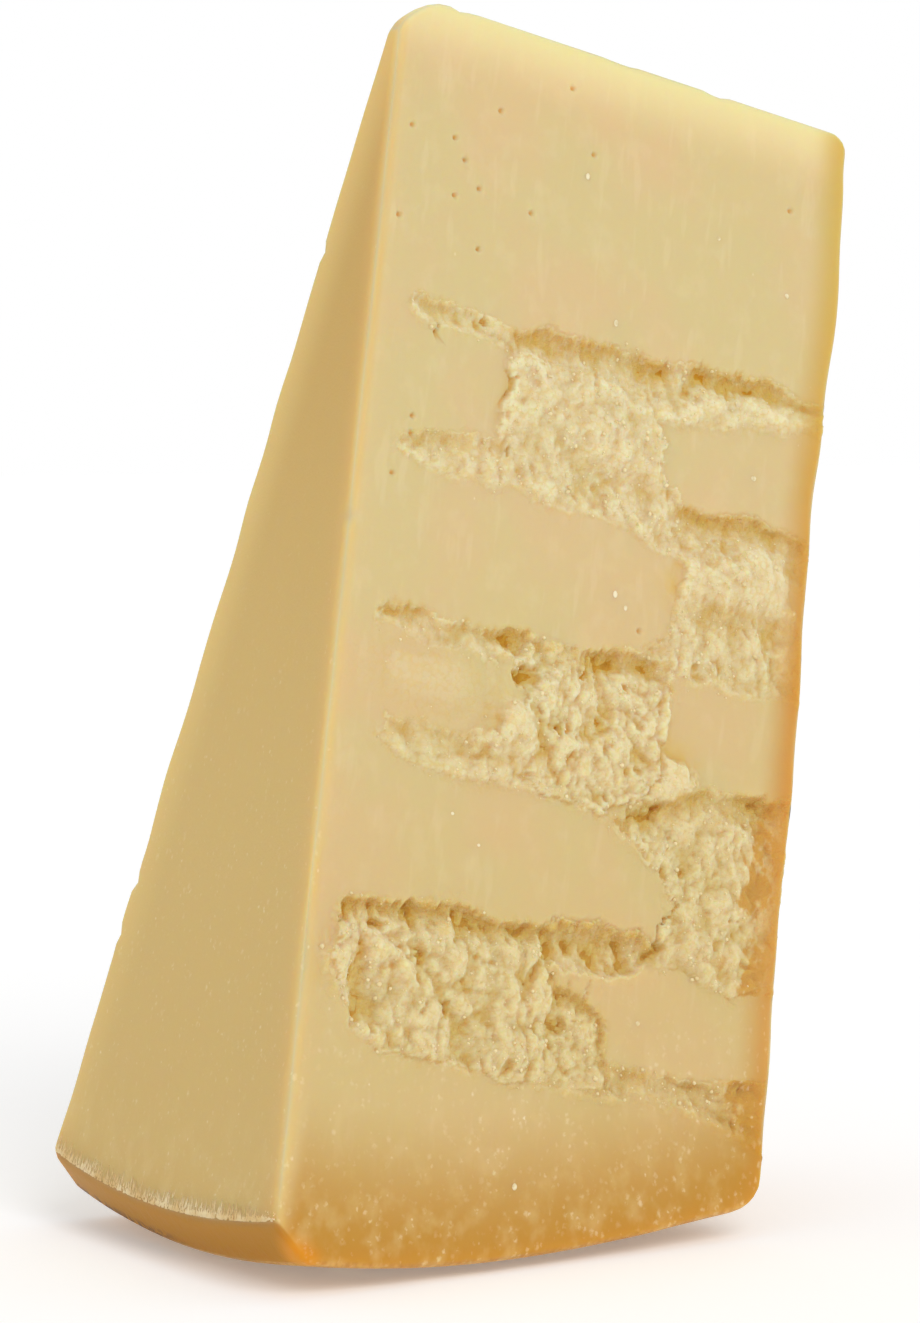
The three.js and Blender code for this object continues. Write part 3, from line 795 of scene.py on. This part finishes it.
# painted highlight: the rounded edges are paler than the faces
edge_highlight = times(tree, near_rounded_edge, ramp(tree, from_side, *EDGE_HIGHLIGHT_DEPTH), EDGE_HIGHLIGHT_SHARE)
paste = tint(tree, edge_highlight, paste, PAINTED_EDGE_HIGHLIGHT)


# ---- Wedge: white flecks ------------------------------------------------------------------------
# Ripening leaves soft white flecks in the paste, up to a millimetre across. They are thickest near
# the wheel's side, where some lie in clusters in a pale haze, and a few lie in every plate.
PALE_HAZE = colour(228, 206, 148)
HAZE_MOTTLE, HAZE_DEPTH, HAZE_SHARE = (0.42, 0.78), (34, 6), 0.3
WHITE_PATCHES = (  # clusters of flecks: x, radius, half width, half length
    (76, 204, 9, 4), (48, 198, 4, 3), (52, 221, 10, 3), (58, 213, 4, 2), (30, 208, 3, 2),
    (20, 221, 6, 2), (92, 189, 6, 4), (84, 196, 4, 2),
)
PATCH_EDGE, PATCH_RAG = (2, 0.9), 1.6
OPEN_FLECKS, PATCH_FLECKS = 0.8, 0.6  # whiteness outside the clusters, and what a cluster adds
CUT_FLECK_SKIN, CUT_FLECK_RADII, SIDE_FLECK_DEPTH = (2, 0.5), (60, 190), (60, 5)
CLUMPS, CLUMP_LEAST = (0.44, 0.66), 0.3
FLECK_GRAIN, FLECK_SHARE = (0.34, 0.5), 0.5
SMALLEST_FLECK = 0.4


def flecks(spacing, size, share, stretch, rag):
    """White spots: the distance between them, their size as a share of it, how many places have
    one, how far they are drawn out, and how ragged they are."""
    cells = put(tree, "TexVoronoi", {"Vector": drawn_out(stretch), "Scale": 1 / spacing})
    chance = put(tree, "SeparateXYZ", {0: cells.outputs["Color"]}).outputs["X"]
    there = maths(tree, "LESS_THAN", chance, share)
    edge = maths(tree, "MULTIPLY_ADD", chance, size, size * SMALLEST_FLECK - rag / 2)
    distance = maths(tree, "MULTIPLY_ADD", grain, -rag, cells.outputs["Distance"])
    return times(tree, there, ramp(tree, distance, edge, -rag / 2))


flat_place = put(tree, "CombineXYZ", {"X": across, "Y": radius_now}).outputs[0]
clusters = 0
for x, radius, width, reach in WHITE_PATCHES:
    off = {0: flat_place, 1: (x, radius, 0)}
    off = put(tree, "VectorMath", off, operation="SUBTRACT").outputs[0]
    off = {0: off, 1: (1 / width, 1 / reach, 0)}
    off = length_of(tree, put(tree, "VectorMath", off, operation="MULTIPLY").outputs[0])
    cluster = ramp(tree, maths(tree, "MULTIPLY_ADD", mottle, PATCH_RAG, off), *PATCH_EDGE)
    clusters = maths(tree, "MAXIMUM", clusters, cluster)
haze = times(tree, ramp(tree, mottle, *HAZE_MOTTLE), ramp(tree, from_side, *HAZE_DEPTH))
haze = times(tree, haze, without(tree, maths(tree, "MAXIMUM", pared, near_flat)))
paste = tint(tree, times(tree, haze, HAZE_SHARE), paste, PALE_HAZE)
on_cut = times(tree, ramp(tree, across, *CUT_FLECK_SKIN), ramp(tree, radius_now, *CUT_FLECK_RADII))
where = maths(tree, "MAXIMUM", on_cut, ramp(tree, from_side, *SIDE_FLECK_DEPTH))
where = maths(tree, "MAXIMUM", where, clusters)
clumped = ramp(tree, mottle, *CLUMPS)
clumped = maths(tree, "MULTIPLY_ADD", clumped, 1 - CLUMP_LEAST, CLUMP_LEAST)
few = flecks(spacing=5, size=0.12, share=0.35, stretch=1.4, rag=0)
many = flecks(spacing=1.4, size=0.5, share=0.75, stretch=1.2, rag=1)
thicker = maths(tree, "MULTIPLY_ADD", clusters, PATCH_FLECKS, OPEN_FLECKS)
many = times(tree, many, where, clumped, thicker)
white = maths(tree, "MAXIMUM", few, many)
white = times(tree, white, ramp(tree, grain, *FLECK_GRAIN), without(tree, pared), FLECK_SHARE)
paste = tint(tree, white, paste, FLECK)


# ---- Wedge: surface -----------------------------------------------------------------------------
# Hard cheese is a little greasy where the knife pressed it smooth, and dull and granular where it
# tore. Light goes some millimetres into it, red the furthest.
PLATE_ROUGHNESS, TORN_ROUGHNESS = 0.5, 0.4
SHINE = 0.22
LIGHT_SHARE, LIGHT_DEPTH, LIGHT_COLOURS = 0.8, 0.008, (1, 0.55, 0.22)
GRAIN_BUMP, TORN_BUMP, UNDER_LIP_BUMP, CRUMB_BUMP, STREAK_BUMP = 0.05, 0.3, 0.45, -0.18, 0.12

shader = tree.nodes["Principled BSDF"]
tree.links.new(paste, shader.inputs["Base Color"])
roughness = maths(tree, "MULTIPLY_ADD", torn_now, TORN_ROUGHNESS, PLATE_ROUGHNESS)
tree.links.new(roughness, shader.inputs["Roughness"])
shader.inputs["Specular IOR Level"].default_value = SHINE
shader.inputs["Subsurface Weight"].default_value = LIGHT_SHARE
shader.inputs["Subsurface Radius"].default_value = LIGHT_COLOURS
shader.inputs["Subsurface Scale"].default_value = LIGHT_DEPTH
grain_bump = maths(tree, "MULTIPLY_ADD", lip_shade_now, UNDER_LIP_BUMP, GRAIN_BUMP)
grain_bump = times(tree, grain, maths(tree, "MULTIPLY_ADD", torn_now, TORN_BUMP, grain_bump))
crumb_bump = times(tree, crumb_cells, crumb_cells, times(tree, torn_now, CRUMB_BUMP))
fine_height = maths(tree, "ADD", grain_bump, crumb_bump)
fine_height = maths(tree, "MULTIPLY_ADD", streaks, STREAK_BUMP, fine_height)
bump = put(tree, "Bump", {"Height": fine_height, "Distance": MM, "Strength": 1})
tree.links.new(bump.outputs[0], shader.inputs["Normal"])
wedge.data.materials.clear()
wedge.data.materials.append(cheese)


# ---- Crumbs -------------------------------------------------------------------------------------
# Loose grains of the cheese, under two millimetres across, cling to the crags and to the plates'
# edges where it tore.
CRUMB_COUNT = 1500
CRUMB_SMALL, CRUMB_LARGE = 0.16, 0.5
CRUMB_LOW, CRUMB_HIGH = colour(224, 203, 148), colour(238, 222, 174)
CRUMB_SHAPE = (0.6, 1.2)
CRUMB_RISE = 0.05
CRUMB_FREE = 6  # the edge beside the flat rind face has none this far in
HOLLOW_FREE, WORN_FREE = 0.75, 4  # deep hollows and worn edges have none
GRAIN_SHADES, GRAIN_ROUGHNESS = (0.35, 0.65), 0.55
chance = np.random.default_rng(11)


def joined_copies(name, pattern, moves):
    """One piece made of a copy of the pattern at each place. The pattern itself is removed."""
    step = len(pattern.data.vertices)
    points = [move @ v.co for move in moves for v in pattern.data.vertices]
    faces = [
        [step * i + k for k in face.vertices]
        for i in range(len(moves))
        for face in pattern.data.polygons
    ]
    piece = bpy.data.objects.new(name, bpy.data.meshes.new(name))
    piece.data.from_pydata(points, [], faces)
    piece.data.shade_smooth()
    bpy.context.collection.objects.link(piece)
    bpy.data.objects.remove(pattern)
    return piece


def pale_cheese(name, low, high, scale):
    """A pale cheese colour that changes a little from grain to grain."""
    made = bpy.data.materials.new(name)
    made.use_nodes = True
    nodes = made.node_tree
    place = put(nodes, "TexCoord").outputs["Object"]
    spots = put(nodes, "TexNoise", {"Vector": place, "Scale": scale}).outputs["Fac"]
    surface = nodes.nodes["Principled BSDF"]
    shade = tint(nodes, ramp(nodes, spots, *GRAIN_SHADES), low, high)
    nodes.links.new(shade, surface.inputs["Base Color"])
    surface.inputs["Roughness"].default_value = GRAIN_ROUGHNESS
    return made


count = len(wedge.data.vertices)
there = {name: np.empty(count) for name in ("torn", "hollow", "worn", "under_lip_shade")}
for name, values in there.items():
    wedge.data.attributes[name].data.foreach_get("value", values)
likely = np.clip(there["torn"], 0, 1) * np.clip(HOLLOW_FREE - there["hollow"], 0, 1)
likely = likely * (1 - np.clip(there["worn"] * WORN_FREE, 0, 1)) * (1 - there["under_lip_shade"])
places = np.empty(3 * count)
wedge.data.vertices.foreach_get("co", places)
places = (places.reshape(-1, 3) - shift) / MM
to_flat = HALF_HEIGHT - (places[:, 0] * cos(LEAN) - places[:, 2] * sin(LEAN))
likely *= np.clip((to_flat - CRUMB_FREE) / CRUMB_FREE, 0, 1)
picked = chance.choice(count, CRUMB_COUNT, replace=False, p=likely / likely.sum())
bpy.ops.object.select_all(action="DESELECT")
bpy.ops.mesh.primitive_ico_sphere_add(subdivisions=1, radius=MM)
moves = []
for index in picked:
    size = CRUMB_SMALL + (CRUMB_LARGE - CRUMB_SMALL) * chance.random() ** 3
    v = wedge.data.vertices[int(index)]
    turn = Vector(chance.normal(size=3)).to_track_quat("Z", "Y").to_matrix().to_4x4()
    shape = Matrix.Diagonal((*(size * chance.uniform(*CRUMB_SHAPE, 3)), 1))
    moves.append(Matrix.Translation(v.co + v.normal * size * CRUMB_RISE * MM) @ turn @ shape)
crumb_piece = joined_copies("crumbs", bpy.context.object, moves)
crumb_piece.data.materials.append(pale_cheese("cheese crumbs", CRUMB_LOW, CRUMB_HIGH, scale=400))
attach(crumb_piece, "root")


# ---- Crystals -----------------------------------------------------------------------------------
# A few hard white crystals, about a millimetre across, lie in the plates. The knife cut them
# through, so they are flat and hardly stand out.
CRYSTALS = [  # x, radius, size
    (43, 27.5, 0.5), (73, 31.5, 0.4), (89.5, 38.5, 0.5), (52, 53, 0.45), (85.5, 74.5, 0.6),
    (57, 102.5, 0.5), (59.5, 104.5, 0.4), (27, 148, 0.35), (33, 152.5, 0.35), (70, 178, 0.45),
    (47, 210, 0.5),
]
CRYSTAL_FLAT, CRYSTAL_STRETCH = 0.12, (0.8, 1.5)
CRYSTAL_COLOUR = colour(238, 226, 190)
stand = Matrix.Translation(shift) @ Matrix.Rotation(LEAN, 4, "Y")

bpy.ops.object.select_all(action="DESELECT")
bpy.ops.mesh.primitive_ico_sphere_add(subdivisions=2, radius=MM)
moves = []
for side, seed in ((-1, NEAR_SEED), (1, FAR_SEED)):
    outward = Vector((0, side * cos(HALF_ANGLE), sin(HALF_ANGLE)))
    for x, radius, size in CRYSTALS:
        x = x if side < 0 else HALF_HEIGHT - x
        height = relief(*face_place(Vector((x, 0, -radius)) * MM, side), seed)[0]
        spot = Vector((x, side * radius * sin(HALF_ANGLE), -radius * cos(HALF_ANGLE)))
        spot += outward * height
        turn = outward.to_track_quat("Z", "Y").to_matrix().to_4x4()
        stretch = chance.uniform(*CRYSTAL_STRETCH)
        shape = Matrix.Diagonal((size, size * stretch, size * CRYSTAL_FLAT, 1))
        moves.append(stand @ Matrix.Translation(spot * MM) @ turn @ shape)
crystals = joined_copies("crystals", bpy.context.object, moves)
crystals.data.materials.append(pale_cheese("white crystals", STRAW, CRYSTAL_COLOUR, scale=900))
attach(crystals, "root")


# ---- Frayed edge --------------------------------------------------------------------------------
# Where the mid-height cut meets the pared rind, the blade left a band of fine pale fibres that point
# to the tip.
FIBRE_COUNT = 1200
FIBRE_BAND, BAND_LEAST, BAND_CHANGE, BAND_TUFTS = 2.4, 0.55, 0.9, 60  # the band's width varies
FIBRE_CROWDING = 1.6  # towards the rind
FIBRE_LENGTHS, FIBRE_WIDTHS = (0.9, 2.4), (0.12, 0.26)
FIBRE_SPLAY, FIBRE_LEAN = 0.16, (0.02, 0.12)
FIBRE_START = Vector((0.15, 0, 0))  # inside the mid-height face
FIBRE_MARGIN = 0.5
FIBRE_ENDS = (radians(-10.5), radians(10.4))
FIBRE_FADE, FIBRE_SHORTEST = radians(2.5), 0.2  # they get shorter towards the near split face
FIBRE_LOW, FIBRE_HIGH = colour(238, 206, 142), colour(250, 230, 182)

bpy.ops.object.select_all(action="DESELECT")
bpy.ops.mesh.primitive_cone_add(vertices=4, radius1=MM, depth=MM, location=(0, 0, MM / 2))
bpy.ops.object.transform_apply(location=True, rotation=False, scale=False)
moves = []
for _ in range(FIBRE_COUNT):
    angle = chance.uniform(*FIBRE_ENDS)
    spoke = Vector((0, sin(angle), -cos(angle)))
    round_way = Vector((0, cos(angle), sin(angle)))
    tufts = abs(noise.noise(Vector((angle * BAND_TUFTS, 3, 1))))
    band = FIBRE_BAND * (BAND_LEAST + BAND_CHANGE * tufts)
    start = side_radius(0) - FIBRE_MARGIN - band * chance.random() ** FIBRE_CROWDING
    root = spoke * start + FIBRE_START
    aim = -spoke + round_way * chance.normal(0, FIBRE_SPLAY)
    aim -= Vector((chance.uniform(*FIBRE_LEAN), 0, 0))
    width = chance.uniform(*FIBRE_WIDTHS)
    fade = min(1, (angle - FIBRE_ENDS[0]) / FIBRE_FADE + FIBRE_SHORTEST)
    shape = Matrix.Diagonal((width, width, fade * chance.uniform(*FIBRE_LENGTHS), 1))
    turn = aim.to_track_quat("Z", "Y").to_matrix().to_4x4()
    moves.append(stand @ (Matrix.Translation(root * MM) @ turn @ shape))
fibres = joined_copies("frayed_edge", bpy.context.object, moves)
fibres.data.materials.append(pale_cheese("frayed fibres", FIBRE_LOW, FIBRE_HIGH, scale=200))
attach(fibres, "root")


# ---- Studio -------------------------------------------------------------------------------------
# A pale floor under an even white sky, with one broad soft light high in front. The floor glows a
# little, which brings it nearer to the sky behind it.
FLOOR_SIZE = 12
PAPER, PAPER_ROUGHNESS, PAPER_GLOW = 0.94, 0.9, 0.2
LIGHT_FROM = Vector((-0.1, -0.76, 0.64))
LIGHT_POWER, LIGHT_SPREAD = 1.08, radians(35)
AIR_LIGHT, AIR_SEEN = 0.66, 1  # the air looks brighter than it lights
WHITE = (1, 1, 1, 1)

bpy.ops.mesh.primitive_plane_add(size=FLOOR_SIZE)
floor = bpy.context.object
floor.name = "floor"
paper = bpy.data.materials.new("pale paper")
paper.use_nodes = True
paper_shader = paper.node_tree.nodes["Principled BSDF"]
paper_shader.inputs["Base Color"].default_value = (PAPER, PAPER, PAPER, 1)
paper_shader.inputs["Roughness"].default_value = PAPER_ROUGHNESS
paper_shader.inputs["Emission Color"].default_value = WHITE
paper_shader.inputs["Emission Strength"].default_value = PAPER_GLOW
floor.data.materials.append(paper)

bpy.ops.object.light_add(type="SUN", location=LIGHT_FROM)
overhead = bpy.context.object
overhead.data.energy = LIGHT_POWER
overhead.data.angle = LIGHT_SPREAD
overhead.rotation_euler = LIGHT_FROM.to_track_quat("Z", "Y").to_euler()

world = bpy.data.worlds.new("studio air")
bpy.context.scene.world = world
world.use_nodes = True
air = world.node_tree.nodes["Background"]
seen = put(world.node_tree, "LightPath").outputs["Is Camera Ray"]
strength = maths(world.node_tree, "MULTIPLY_ADD", seen, AIR_SEEN - AIR_LIGHT, AIR_LIGHT)
air.inputs["Color"].default_value = WHITE
world.node_tree.links.new(strength, air.inputs["Strength"])
bpy.context.scene.view_settings.view_transform = "Standard"
